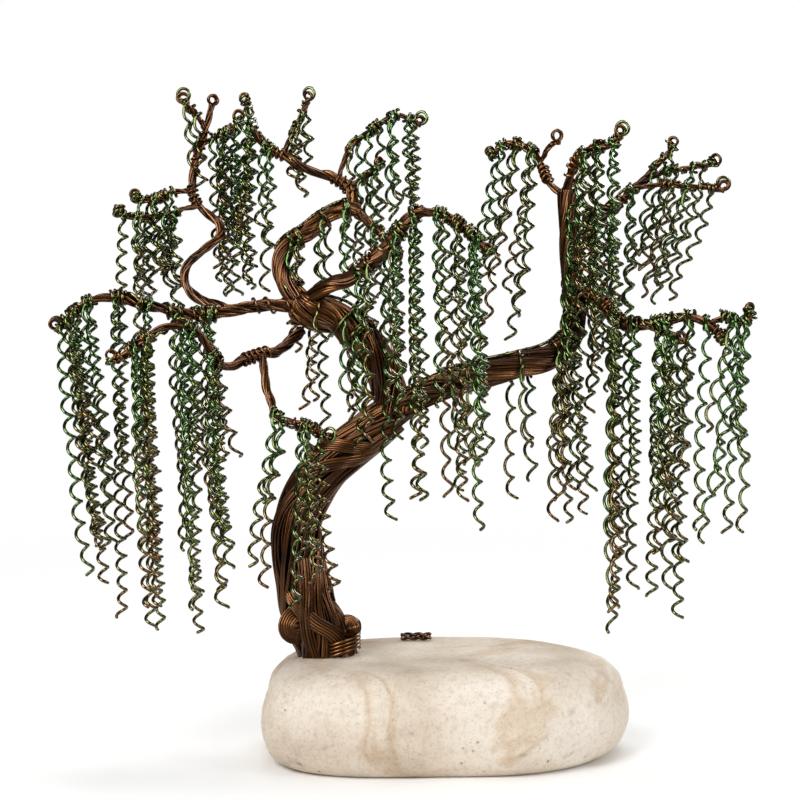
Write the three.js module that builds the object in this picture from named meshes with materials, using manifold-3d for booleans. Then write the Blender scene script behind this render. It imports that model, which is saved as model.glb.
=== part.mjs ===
// Weeping-willow sculpture twisted from enamelled wire, standing on a pale stone.
// Millimetres, +Z up. The origin is at the middle of the stone's flat underside, X runs along the
// stone towards the long side of the crown and -Y is the front.
import * as THREE from 'three';
import Module from 'manifold-3d';

const wasm = await Module();
wasm.setup();
const { Manifold } = wasm;

// ---------------------------------------------------------------- driving dimensions
const WIRE = 0.62;            // corner radius of a three-sided wire as stout as a 0.9 mm round one
const GAP = 0.3;              // air kept between two pieces that touch
const CURL_RADIUS = 1.5;      // centre radius of a curl, wound on a 2 mm rod
const CURL_PITCH = 6.9;       // rise of one turn of a curl after it has been pulled open
const STEPS_PER_TURN = 2.2;  // coarse steps along the true helix of a curl
const BINDING_STEP = 5;       // length of one straight run of the wire that binds a curtain on
const FINEST = 0.04;          // edges shorter than this, left where solids join, are closed up
const STONE_TOP = 30;
const STONE_HALF = { x: 54, y: 40 };

// ---------------------------------------------------------------- routes of the wire bundles
// Each bundle: the points it bends through, its radius at both ends, how many ropes it shows
// around its section, how many turns they make along it, and the steps it is swept in.
const BUNDLES = {
  trunk: {
    route: [[-33, 0, 27], [-36, 0, 35.5], [-39.5, -1, 43], [-41.5, -1, 51], [-43, 0, 60.5],
      [-42.5, 0, 71.5], [-38.5, 0, 80.5], [-31, 0, 89.5], [-22, 0, 96.5], [-14.5, 0, 102.5]],
    radius: [9.2, 6.4], ropes: 8, turns: 0.45, steps: 11,
  },
  limb_left: {
    route: [[-14, 0, 103], [-15.5, 0, 111], [-19, -1, 119.5], [-24, -1, 126], [-30.5, 0, 131.5],
      [-38, 0, 133.5], [-43, 1, 135]],
    radius: [5.6, 5.4], ropes: 6, turns: 0.6, steps: 8,
  },
  limb_right: {
    route: [[-14, 0, 103], [-3, 0, 110], [6, -1, 113], [18, -1, 116], [30, 0, 119], [36.5, 1, 122.5],
      [40.5, 2, 128.5], [40, 2, 140], [39, 3, 152], [38.5, 3, 161], [38, 3, 170]],
    radius: [4.8, 2.9], ropes: 5, turns: 1.3, steps: 12,
  },
  limb_crown: {
    route: [[-40, 1, 135], [-46, 4, 141.5], [-48, 6, 147.5], [-46, 8, 153], [-40.5, 10, 157],
      [-35, 12, 161.5], [-29, 14, 164.5], [-24.5, 15, 164]],
    radius: [3.4, 2.2], ropes: 4, turns: 1, steps: 9,
  },
  limb_front: {
    route: [[-39, -1, 137], [-33, -6, 141.5], [-27, -9, 143.5], [-22, -12, 147.5], [-17.5, -14, 151.5],
      [-13, -16, 156.5], [-9, -18, 161.5], [-5, -19, 163.5]],
    radius: [2.7, 1.8], ropes: 4, turns: 1, steps: 9,
  },
  loop_inner: {
    route: [[-25, 14, 163], [-19.5, 13, 158.5], [-15, 10, 154.5], [-12.5, 6, 151]],
    radius: [1.6, 1.2], ropes: 2, turns: 0.4, steps: 4,
  },
  spray_front: {
    route: [[-7, -19, 163], [-0.5, -20, 162.5], [3, -21, 161], [6.5, -22, 158.5], [10, -23, 155.5],
      [13.5, -24, 151]],
    radius: [1.5, 1.1], ropes: 2, turns: 0.6, steps: 6, tip: true,
  },
  bough_left: {
    route: [[-42, 0, 135], [-53.5, -1, 135.5], [-60, -2, 134.5], [-68, -3, 133], [-76, -4, 133],
      [-85, -6, 135], [-93.5, -8, 137.5], [-98.5, -9, 138], [-103, -10, 137], [-107, -11, 134.5],
      [-110.5, -12, 131], [-113, -12, 128]],
    radius: [2.2, 1.2], ropes: 3, turns: 1.3, steps: 11, tip: true,
  },
  bough_rising: {
    route: [[-63.5, 0, 134.5], [-71, 4, 136.5], [-75.5, 6, 139.5], [-77.5, 8, 144], [-76, 10, 148.5],
      [-71, 13, 152.5], [-67, 15, 156.5], [-67.5, 17, 160], [-71.5, 19, 163.5], [-75, 20, 167],
      [-76, 22, 173], [-75, 24, 180], [-73, 25, 186.5], [-71.5, 26, 192], [-70.5, 27, 197]],
    radius: [1.7, 1.1], ropes: 2, turns: 1.5, steps: 14, tip: true,
  },
  bough_low: {
    route: [[-41.5, -1, 128], [-47.5, -9, 122.5], [-52.5, -13, 121.5], [-57.5, -16, 120],
      [-61.5, -19, 118], [-65, -21, 119.5], [-67.5, -22, 123.5], [-70.5, -23, 128], [-75, -24, 130.5],
      [-80.5, -24, 129.5], [-85.5, -24, 126.5], [-90.5, -23, 123], [-95.5, -22, 119.5]],
    radius: [1.8, 1.1], ropes: 2, turns: 1.3, steps: 12, tip: true,
  },
  twig_droop: {
    route: [[-52.5, -13, 121.5], [-51, -18, 112.5], [-49.5, -21, 108], [-48, -24, 104],
      [-43.5, -26, 102.5], [-39.5, -27, 101.5], [-36, -28, 100], [-32.5, -28, 96.5]],
    radius: [1.5, 1.0], ropes: 2, turns: 0.75, steps: 7, tip: true,
  },
  crest: {
    route: [[-26, 15, 164], [-27.5, 17, 170.5], [-33, 18, 174.5], [-40, 19, 176.5], [-47, 20, 180.5],
      [-52.5, 20, 183], [-56.5, 19, 187.5], [-58, 18, 192.5], [-59, 17, 197]],
    radius: [2.0, 1.0], ropes: 3, turns: 0.9, steps: 8, tip: true,
  },
  arch_right: {
    route: [[38, 3, 168], [34, 6, 171], [32, 9, 174.5], [31, 12, 178.5], [28, 15, 182.5],
      [24, 18, 184.5], [19.5, 20, 184], [16.5, 21, 180.5]],
    radius: [1.4, 1.0], ropes: 2, turns: 0.75, steps: 7, tip: true,
  },
  arch_crown: {
    route: [[38, 3, 168], [39, -3, 176], [41, -7, 179.5], [44.5, -11, 182], [49, -14, 182.5],
      [52.5, -16, 185]],
    radius: [1.5, 1.0], ropes: 2, turns: 0.5, steps: 5, tip: true,
  },
  bough_back: {
    route: [[39, 3, 150], [45.5, 9, 158.5], [50.5, 13, 163], [55.5, 17, 167], [61, 21, 172]],
    radius: [1.8, 1.4], ropes: 2, turns: 0.5, steps: 5,
  },
  bough_right: {
    route: [[40, 2, 141], [47.5, -4, 137], [50.5, -7, 133.5], [53.5, -10, 131], [59, -13, 130],
      [65, -16, 131], [71, -18, 132.5], [76, -20, 131.5], [79.5, -21, 129], [82, -21, 125.5]],
    radius: [2.1, 1.3], ropes: 3, turns: 1, steps: 9, tip: true,
  },
};

// Twigs are the last few wires of a bundle, so each is one solid with the bundle that feeds it.
const TWIGS = {
  bough_rising: [
    { name: 'twig_left_upper', route: [[-76, 21, 170], [-81, 19, 170], [-86, 18, 168], [-90.5, 17, 167],
      [-93, 16, 167.5]] },
    { name: 'twig_left_lower', route: [[-73.5, 19.5, 165.5], [-78.5, 17, 164.5], [-84, 15, 162.5],
      [-89, 13, 162], [-94, 12, 162], [-97.5, 11, 163]] },
    { name: 'twig_rising_tip', route: [[-72, 25.5, 189], [-75.5, 25, 194.5], [-79, 24, 197.5]] },
    { name: 'twig_rising_right', route: [[-73, 25, 185], [-68, 27, 187.5], [-64.5, 29, 189.5],
      [-62, 30, 192]] },
  ],
  crest: [
    { name: 'twig_crest_left', route: [[-48, 20, 181.5], [-46, 23, 186], [-44, 25, 190],
      [-42, 26, 195], [-40.5, 27, 198]] },
    { name: 'twig_crest_back', route: [[-28, 17, 171], [-22, 24, 175], [-18.5, 29, 177.5]] },
    { name: 'twig_crest_mid', route: [[-31, 18, 173.5], [-28.5, 22, 181], [-25.5, 26, 185.5],
      [-21, 29, 189], [-16.5, 31, 192.5], [-12, 33, 194], [-8, 34, 192.5], [-5.5, 34, 191]] },
  ],
  arch_right: [
    { name: 'twig_arch', route: [[31, 12, 179.5], [33.5, 9, 183.5], [36, 7, 184.5]] },
  ],
  bough_back: [
    { name: 'twig_back_a', route: [[60.5, 20.5, 171.5], [66.5, 24, 177], [71, 27, 181.5],
      [73, 28, 184]] },
    { name: 'twig_back_b', route: [[60, 20, 171], [68.5, 27, 175.5], [74.5, 31, 177],
      [81.5, 34, 178], [87, 36, 179]] },
    { name: 'twig_back_c', route: [[60, 20, 171], [68.5, 19, 172], [75, 18, 171.5], [81.5, 17, 171],
      [87, 16, 170]] },
  ],
  bough_right: [
    { name: 'twig_right_tip', route: [[77, -20.5, 130.5], [83, -22, 132.5], [87, -23, 131],
      [89.5, -24, 133.5]] },
    { name: 'twig_right_low', route: [[60.5, -14, 130.2], [66, -19, 127], [69.5, -22, 125.5]] },
  ],
};
const TWIG_RADIUS = [1.0, 0.8];

// Where a bundle springs from another, it is cut back to stand just clear of these.
const SPRINGS_FROM = {
  limb_left: ['trunk'],
  limb_right: ['trunk', 'limb_left'],
  limb_crown: ['limb_left'],
  limb_front: ['limb_left', 'limb_crown'],
  loop_inner: ['limb_crown', 'limb_front'],
  spray_front: ['limb_front'],
  bough_left: ['limb_left', 'limb_crown'],
  bough_rising: ['bough_left'],
  bough_low: ['limb_left', 'bough_left'],
  twig_droop: ['bough_low'],
  crest: ['limb_crown', 'loop_inner'],
  arch_right: ['limb_right'],
  arch_crown: ['limb_right', 'arch_right'],
  bough_back: ['limb_right'],
  bough_right: ['limb_right'],
};

// ---------------------------------------------------------------- the curtains of green curls
// Each hangs from a stretch of one bundle or twig, given as fractions of its route. A curl falls
// by its entry in drops while its foot drifts along X by an amount that runs from drift[0] to
// drift[1] across the curtain. Curls hang before and behind the bundle by turns, further out where
// the curtain has an out. Its solid holds the curls that solid numbers, and leaves the rest of
// this fine wire to the finish.
const CURTAINS = {
  curls_left_tip: { on: 'bough_left', from: 0.7, to: 0.93, drift: [6, 7],
    drops: [53, 72, 60, 81, 45, 69, 74], solid: [1, 6] },
  curls_left: { on: 'bough_left', from: 0.25, to: 0.62, drift: [4, 1],
    drops: [34, 84, 60, 97, 54, 70, 96, 62, 90, 72, 50, 96], solid: [3, 10] },
  curls_low: { on: 'bough_low', from: 0.36, to: 0.93, drift: [3, 2],
    drops: [30, 62, 74, 40, 82, 66, 78, 84, 60], solid: [4, 7] },
  curls_droop: { on: 'twig_droop', from: 0.35, to: 0.9, drift: [-8, 4],
    drops: [44, 50, 24, 54, 38, 44, 45], solid: [1, 6] },
  curls_left_lower: { on: 'twig_left_lower', from: 0.2, to: 0.9, drift: [1, -1],
    drops: [22, 28, 18, 27, 30, 24, 27], solid: [4] },
  curls_left_upper: { on: 'twig_left_upper', from: 0.3, to: 0.8, drift: [1, 0],
    drops: [20, 30, 24, 32, 26], solid: [3] },
  curls_rising_tip: { on: 'twig_rising_tip', from: 0.4, to: 0.85, drift: [2, 4],
    drops: [20, 24, 22], solid: [1] },
  curls_rising_right: { on: 'twig_rising_right', from: 0.2, to: 0.9, drift: [2, 0],
    drops: [40, 50, 34, 52, 44], solid: [3] },
  curls_crest: { on: 'crest', from: 0.56, to: 0.95, drift: [0, -3],
    drops: [30, 44, 26, 42, 50, 36, 46], solid: [1, 4] },
  curls_crest_left: { on: 'twig_crest_left', from: 0.35, to: 0.9, drift: [0, 1],
    drops: [14, 22, 12, 20], solid: [1] },
  curls_crest_back: { on: 'twig_crest_back', from: 0.3, to: 0.9, drift: [0, 1],
    drops: [34, 42, 30, 40], solid: [1] },
  curls_crest_mid: { on: 'twig_crest_mid', from: 0.2, to: 0.62, drift: [0, 1],
    drops: [30, 36, 34, 28, 32], solid: [1] },
  curls_crest_tip: { on: 'twig_crest_mid', from: 0.8, to: 0.87, drift: [0, 1], pitch: 3.5,
    drops: [26, 30, 28], solid: [1] },
  curls_hub: { on: 'limb_left', from: 0.48, to: 0.9, drift: [2, -2],
    drops: [34, 30, 22, 36, 26, 30], solid: [1] },
  curls_crown: { on: 'limb_crown', from: 0.4, to: 0.86, drift: [0, 1],
    drops: [24, 34, 22, 30, 28, 38, 36], solid: [1] },
  curls_front: { on: 'limb_front', from: 0.3, to: 0.95, drift: [0, 2],
    drops: [38, 46, 52, 81, 44, 60, 83, 69], solid: [3, 6] },
  curls_spray: { on: 'spray_front', from: 0.1, to: 0.88, drift: [2, 4],
    drops: [56, 83, 48, 82, 60, 70, 86, 66, 62], solid: [1, 6] },
  curls_arch_right: { on: 'arch_right', from: 0.5, to: 0.9, drift: [-2, -7],
    drops: [50, 58, 44, 40, 54, 50, 62, 48], solid: [2] },
  curls_arch_crown: { on: 'arch_crown', from: 0.35, to: 0.9, drift: [0, 1],
    drops: [46, 60, 40, 66, 52, 44, 58, 50], solid: [3] },
  curls_limb_upper: { on: 'limb_right', from: 0.78, to: 0.96, out: 2.5, drift: [-6, 8],
    drops: [60, 84, 70, 90, 78, 66, 92, 88], solid: [6] },
  curls_limb_low: { on: 'limb_right', from: 0.14, to: 0.56, drift: [1, 1],
    drops: [20, 34, 26, 40, 24, 36, 44, 30, 43], solid: [3, 6] },
  curls_back: { on: 'bough_back', from: 0.2, to: 0.95, drift: [0, -1],
    drops: [38, 58, 52, 44, 56, 36, 50, 40], solid: [1] },
  curls_back_a: { on: 'twig_back_a', from: 0.3, to: 0.9, drift: [-6, -8],
    drops: [28, 34, 30], solid: [1] },
  curls_back_b: { on: 'twig_back_b', from: 0.35, to: 0.85, drift: [-9, -12],
    drops: [30, 40, 36, 38], solid: [3] },
  curls_back_c: { on: 'twig_back_c', from: 0.35, to: 0.85, drift: [-6, -10],
    drops: [26, 36, 30, 34], solid: [3] },
  curls_right: { on: 'bough_right', from: 0.2, to: 0.8, drift: [0, -3],
    drops: [60, 95, 86, 68, 50, 79, 80, 56, 68, 89, 44, 72, 60], solid: [1, 9] },
  curls_right_tip: { on: 'twig_right_tip', from: 0.3, to: 0.85, out: 1.5, drift: [-8, 0],
    drops: [33, 66, 50, 62, 40, 62], solid: [1, 5] },
  curls_right_low: { on: 'twig_right_low', from: 0.5, to: 0.65, drift: [0, 0],
    drops: [60, 74, 52], solid: [1] },
  curls_loop: { on: 'loop_inner', from: 0.3, to: 1, drift: [0, 1],
    drops: [30, 46, 52, 36], solid: [1] },
};

// ---------------------------------------------------------------- small helpers
const mix = (a, b, f) => a + (b - a) * f;

// A point on a route: Catmull-Rom through its points, u running from 0 to 1.
function along(route, u) {
  const spans = route.length - 1;
  const place = Math.min(Math.max(u, 0), 1) * spans;
  const i = Math.min(Math.floor(place), spans - 1);
  const f = place - i;
  const at = (k) => route[Math.min(Math.max(k, 0), spans)];
  const [a, b, c, d] = [at(i - 1), at(i), at(i + 1), at(i + 2)];
  const blend = [0, 1, 2].map((k) => 0.5 * (2 * b[k] + (c[k] - a[k]) * f
    + (2 * a[k] - 5 * b[k] + 4 * c[k] - d[k]) * f * f
    + (3 * b[k] - a[k] - 3 * c[k] + d[k]) * f * f * f));
  return new THREE.Vector3(...blend);
}

// A closed solid through rings of points, each end closed by a fan round its middle.
function loft(rings) {
  const sides = rings[0].length;
  const corners = rings.flat();
  const triangles = [];
  for (let r = 0; r < rings.length - 1; r += 1) {
    for (let s = 0; s < sides; s += 1) {
      const a = r * sides + s;
      const b = r * sides + (s + 1) % sides;
      triangles.push(a, b, b + sides, a, b + sides, a + sides);
    }
  }
  for (const [first, flip] of [[0, true], [(rings.length - 1) * sides, false]]) {
    const middle = corners.length;
    const ring = corners.slice(first, first + sides);
    corners.push(ring.reduce((sum, p) => sum.add(p), new THREE.Vector3()).divideScalar(sides));
    for (let s = 0; s < sides; s += 1) {
      const a = first + s;
      const b = first + (s + 1) % sides;
      triangles.push(middle, ...(flip ? [b, a] : [a, b]));
    }
  }
  return new Manifold(new wasm.Mesh({
    numProp: 3,
    vertProperties: Float32Array.from(corners.flatMap((p) => p.toArray())),
    triVerts: Uint32Array.from(triangles),
  }));
}

// Sweeps a section along points without twisting it, then turns it as asked. sectionAt gives the
// radius of corner s at station k, and turnAt the angle that the section has turned by there.
function sweep(points, sides, sectionAt, turnAt = () => 0) {
  const last = points.length - 1;
  const rings = [];
  let across = new THREE.Vector3(0.2, 1, 0.1);
  points.forEach((point, k) => {
    const ahead = points[Math.min(k + 1, last)].clone().sub(point).normalize();
    const behind = point.clone().sub(points[Math.max(k - 1, 0)]).normalize();
    const tangent = ahead.add(behind).normalize();
    across = across.clone().addScaledVector(tangent, -across.dot(tangent)).normalize();
    const other = new THREE.Vector3().crossVectors(tangent, across);
    const ring = [];
    for (let s = 0; s < sides; s += 1) {
      const angle = (2 * Math.PI * s) / sides + turnAt(k);
      const radius = sectionAt(k, s);
      ring.push(point.clone()
        .addScaledVector(across, radius * Math.cos(angle))
        .addScaledVector(other, radius * Math.sin(angle)));
    }
    rings.push(ring);
  });
  return loft(rings);
}

const wire = (points) => sweep(points, 3, () => WIRE);

// The piece of a solid that is left in one body once slivers are dropped.
function mainPiece(solid) {
  const pieces = solid.decompose();
  return pieces.reduce((best, piece) => (piece.volume() > best.volume() ? piece : best));
}

// ---------------------------------------------------------------- bundles of brown wire
const bundleRadius = (bundle, u) => mix(bundle.radius[0], bundle.radius[1], u);

// The curled end of a bundle: its last wire wound into a small eye above the tip.
function tipEye(tip) {
  const radius = 1.6;
  const steps = 5;
  const points = [];
  for (let k = 1; k <= steps; k += 1) {
    const angle = -Math.PI / 2 + (2.1 * Math.PI * k) / steps;
    points.push(tip.clone().add(new THREE.Vector3(
      radius * Math.cos(angle), (1.5 * k) / steps, radius * (1 + Math.sin(angle)))));
  }
  return points;
}

// A twisted rope: its section has a crest for each rope and a valley between each two.
function rope(bundle, grow = 0) {
  const valley = 0.8;
  const points = [];
  for (let k = 0; k <= bundle.steps; k += 1) {
    points.push(along(bundle.route, k / bundle.steps));
  }
  if (bundle.tip) {
    points.push(...tipEye(points[bundle.steps]));
  }
  const corner = (k, s) => {
    const reach = k <= bundle.steps ? bundleRadius(bundle, k / bundle.steps) : WIRE;
    return reach * (s % 2 === 0 ? 1 : valley) + grow;
  };
  return sweep(points, bundle.ropes * 2, corner,
    (k) => (2 * Math.PI * bundle.turns * Math.min(k, bundle.steps)) / bundle.steps);
}

// A twig is a single stout wire with its own eye.
function twigSolid(twig) {
  const steps = twig.route.length - 1;
  const points = [];
  for (let k = 0; k <= steps; k += 1) {
    points.push(along(twig.route, k / steps));
  }
  points.push(...tipEye(points[steps]));
  return sweep(points, 3, (k) => (k < steps ? TWIG_RADIUS[0] : WIRE));
}

function bundlePiece(name) {
  const bundle = BUNDLES[name];
  const parts = [rope(bundle), ...(TWIGS[name] ?? []).map(twigSolid)];
  let solid = Manifold.union(parts);
  for (const parent of SPRINGS_FROM[name] ?? []) {
    solid = solid.subtract(rope(BUNDLES[parent], 1.3 * GAP));
  }
  return mainPiece(solid);
}

// Root wires let out of the trunk's foot: each arches out over the stone and tucks back in.
function rootLoops() {
  const loops = [
    { at: [-43, -3, 38], out: [-4.5, -2, 1], rise: 4 },
    { at: [-43.5, 3, 37], out: [-4, 2, -1], rise: 4 },
    { at: [-28, -4, 35], out: [3.5, -2.5, -0.5], rise: 3.2 },
    { at: [-28, 3, 36.5], out: [3.5, 1.5, 0.5], rise: 3.2 },
  ];
  const steps = 4;
  return loops.map(({ at, out, rise }) => {
    const points = [];
    for (let k = 0; k <= steps; k += 1) {
      const angle = (Math.PI * k) / steps;
      points.push(new THREE.Vector3(...at)
        .addScaledVector(new THREE.Vector3(...out), Math.sin(angle))
        .add(new THREE.Vector3(0, 0, rise * Math.cos(angle))));
    }
    return sweep(points, 3, () => 0.9);
  });
}

// ---------------------------------------------------------------- curls
const twigList = Object.values(TWIGS).flat();

// The route and radius of the bundle or twig that a curtain hangs on.
function carrier(name) {
  const twig = twigList.find((entry) => entry.name === name);
  return twig ? { route: twig.route, radius: TWIG_RADIUS } : BUNDLES[name];
}

// The direction, square to the carrier, in which the wire that binds a curtain on lies: upwards.
function bindingSide(route, u) {
  const tangent = along(route, Math.min(u + 0.02, 1)).sub(along(route, Math.max(u - 0.02, 0)));
  const up = new THREE.Vector3(-tangent.z, 0, tangent.x).normalize();
  return up.z < 0 ? up.negate() : up;
}

function bindingPoint(host, u) {
  const away = bundleRadius(host, u) + GAP + 1.3 * WIRE;
  return along(host.route, u).addScaledVector(bindingSide(host.route, u), away);
}

// One curl: it hooks over its carrier, drops clear of it and hangs as a helix.
function curlPoints(curtain, index) {
  const host = carrier(curtain.on);
  const f = index / (curtain.drops.length - 1);
  const u = mix(curtain.from, curtain.to, f);
  const side = index % 2 === 0 ? -1 : 1;
  const radius = bundleRadius(host, u);
  const centre = along(host.route, u);
  const top = bindingPoint(host, u);
  const clear = radius + GAP + WIRE;
  const shoulder = top.clone().lerp(centre, 0.3).add(new THREE.Vector3(0, side * clear * 0.95, 0));
  const out = clear + CURL_RADIUS + (curtain.out ?? 0);
  const axis = centre.clone().add(new THREE.Vector3(0, side * out, 0));
  const drop = curtain.drops[index];
  const drift = mix(curtain.drift[0], curtain.drift[1], f);
  const pitch = (curtain.pitch ?? CURL_PITCH) * (1 + 0.12 * Math.sin(1.7 * index));
  const turns = drop / pitch;
  const steps = Math.round(turns * STEPS_PER_TURN);
  const phase = -side * (Math.PI / 2);
  const points = [top, shoulder];
  for (let k = 1; k <= steps; k += 1) {
    const fall = k / steps;
    const angle = phase + side * (2 * Math.PI * turns * fall);
    const swing = Math.min(1, (k + 1) / 4);
    points.push(new THREE.Vector3(
      axis.x + drift * fall ** 1.3 + CURL_RADIUS * swing * Math.cos(angle),
      axis.y + CURL_RADIUS * swing * Math.sin(angle),
      axis.z - drop * fall));
  }
  return points;
}

// A curtain: the binding wire along the top of its carrier, with the curls that hang from it.
function curtainPiece(name) {
  const curtain = CURTAINS[name];
  const host = carrier(curtain.on);
  const reach = along(host.route, curtain.from).distanceTo(along(host.route, curtain.to));
  const stations = Math.max(2, Math.round(reach / BINDING_STEP));
  const binding = [];
  for (let k = 0; k <= stations; k += 1) {
    binding.push(bindingPoint(host, mix(curtain.from, curtain.to, k / stations)));
  }
  const parts = [wire(binding), ...curtain.solid.map((i) => wire(curlPoints(curtain, i)))];
  return mainPiece(Manifold.union(parts));
}

// ---------------------------------------------------------------- stone
// Half-width of the stone in the direction of an angle: an oval with a few slow bulges.
function stoneReach(angle) {
  const bulge = 1 + 0.035 * Math.sin(2 * angle + 0.6) + 0.03 * Math.sin(3 * angle + 2)
    + 0.02 * Math.sin(5 * angle + 1);
  const oval = (Math.abs(Math.cos(angle)) ** 2.6 + Math.abs(Math.sin(angle)) ** 2.6) ** (-1 / 2.6);
  return oval * bulge;
}

function stonePiece() {
  const sides = 24;
  // height, and share of the reach: flat underside, rolled lower edge, belly, shoulder, flat top
  const profile = [[0, 0.86], [4, 0.96], [12, 1], [21, 0.97], [26.5, 0.9], [29.4, 0.78], [STONE_TOP, 0.66]];
  const rings = profile.map(([z, share]) => {
    const ring = [];
    for (let s = 0; s < sides; s += 1) {
      const angle = (2 * Math.PI * s) / sides;
      const reach = stoneReach(angle) * share;
      ring.push(new THREE.Vector3(
        STONE_HALF.x * reach * Math.cos(angle), STONE_HALF.y * reach * Math.sin(angle), z));
    }
    return ring;
  });
  return loft(rings);
}

// A short offcut of three twisted wires that lies on the stone behind the trunk.
function offcutPiece() {
  const length = 9;
  const steps = 6;
  const points = [];
  for (let k = 0; k <= steps; k += 1) {
    points.push(new THREE.Vector3(-11.5 + (length * k) / steps, 21, STONE_TOP + 1.6));
  }
  return sweep(points, 6, (k, s) => 1.3 * (s % 2 === 0 ? 1 : 0.72), (k) => k * 0.7);
}

// ---------------------------------------------------------------- the scene graph
const MATERIALS = {
  brown: new THREE.MeshStandardMaterial({ color: 0x43291a, roughness: 0.35, metalness: 0.35 }),
  green: new THREE.MeshStandardMaterial({ color: 0x2f4a28, roughness: 0.3, metalness: 0.35 }),
  stone: new THREE.MeshStandardMaterial({ color: 0xddd0bd, roughness: 0.85, metalness: 0 }),
};

// Joining solids leaves slivers: the two ends of every edge shorter than FINEST become one corner,
// and the faces that this flattens go.
function withoutSlivers(solid) {
  const { vertProperties, triVerts } = solid.getMesh();
  const corner = (v) => new THREE.Vector3().fromArray(vertProperties, 3 * v);
  const mergedInto = Array.from({ length: vertProperties.length / 3 }, (_, v) => v);
  const rootOf = (v) => (mergedInto[v] === v ? v : rootOf(mergedInto[v]));
  for (let t = 0; t < triVerts.length; t += 3) {
    for (let e = 0; e < 3; e += 1) {
      const a = rootOf(triVerts[t + e]);
      const b = rootOf(triVerts[t + ((e + 1) % 3)]);
      if (a !== b && corner(a).distanceTo(corner(b)) < FINEST) {
        mergedInto[Math.max(a, b)] = Math.min(a, b);
      }
    }
  }
  const faces = new Map();
  for (let t = 0; t < triVerts.length; t += 3) {
    const face = [0, 1, 2].map((e) => rootOf(triVerts[t + e]));
    const key = [...face].sort((a, b) => a - b).join();
    if (new Set(face).size === 3) {
      if (faces.has(key)) {
        faces.delete(key);
      } else {
        faces.set(key, face);
      }
    }
  }
  return new Manifold(new wasm.Mesh({
    numProp: 3,
    vertProperties,
    triVerts: Uint32Array.from([...faces.values()].flat()),
  }));
}

const group = new THREE.Group();

function add(name, solid, material) {
  const { vertProperties, triVerts } = withoutSlivers(solid).getMesh();
  const geometry = new THREE.BufferGeometry();
  geometry.setAttribute('position', new THREE.BufferAttribute(vertProperties, 3));
  geometry.setIndex(new THREE.BufferAttribute(triVerts, 1));
  geometry.computeVertexNormals();
  const mesh = new THREE.Mesh(geometry, MATERIALS[material]);
  mesh.name = name;
  group.add(mesh);
}

add('stone_base', stonePiece(), 'stone');
add('stone_offcut', offcutPiece(), 'brown');
const trunk = Manifold.union([bundlePiece('trunk'), ...rootLoops()]);
add('trunk', trunk.trimByPlane([0, 0, 1], STONE_TOP + GAP), 'brown');
for (const name of Object.keys(BUNDLES).filter((key) => key !== 'trunk')) {
  add(name, bundlePiece(name), 'brown');
}
for (const name of Object.keys(CURTAINS)) {
  add(name, curtainPiece(name), 'green');
}

export default group;
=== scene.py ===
# Weeping-willow sculpture twisted from enamelled wire, standing on a pale stone: the dressed model.
# Each piece replaces one CAD node: a mesh of round wires, or the weathered stone. Routes are in
# millimetres and are those of the CAD solids, and each mesh is turned into metres as it is made.
import math

import bpy
import numpy as np
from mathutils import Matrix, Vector, noise


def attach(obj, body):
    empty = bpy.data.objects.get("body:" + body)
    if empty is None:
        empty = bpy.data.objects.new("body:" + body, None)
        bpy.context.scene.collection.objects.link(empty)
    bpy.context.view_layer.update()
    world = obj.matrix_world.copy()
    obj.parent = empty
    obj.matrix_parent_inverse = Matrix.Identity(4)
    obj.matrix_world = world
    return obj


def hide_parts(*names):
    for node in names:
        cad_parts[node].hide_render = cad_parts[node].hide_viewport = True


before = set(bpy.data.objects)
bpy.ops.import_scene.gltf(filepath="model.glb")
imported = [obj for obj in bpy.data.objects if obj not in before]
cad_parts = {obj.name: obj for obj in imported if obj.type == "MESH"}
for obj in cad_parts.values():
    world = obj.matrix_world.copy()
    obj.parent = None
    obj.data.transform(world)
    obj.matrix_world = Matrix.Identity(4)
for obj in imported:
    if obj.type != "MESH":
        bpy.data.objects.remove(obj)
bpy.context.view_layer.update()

MM = 0.001
TURN = 2 * math.pi

# the wire and its curls, in millimetres
CAD_GAP = 0.3  # air between a bough and the wire on it in the CAD
CAD_WIRE = 0.62  # corner radius of the CAD's three-sided wire
BROWN_WIRE = 0.45  # radius of the brown wire
GREEN_WIRE = 0.5  # radius of the green wire
CURL_RADIUS = 1.35  # centre radius of a curl
CURL_PITCH = 6.4  # height of one turn of a curl
TWIG_RADIUS = [1.0, 0.8]  # radius of a twig at its root and at its tip
STOUT = 2.5  # a bough stouter than this radius is too thick to wind curls round

# faces round a wire and round the core that closes a bundle, which is given the darkest tone as painted
# shade between its wires
BROWN_SIDES = 6
GREEN_SIDES = 7
CORE_SIDES = 12
THIN_CORE_SIDES = 8

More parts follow.
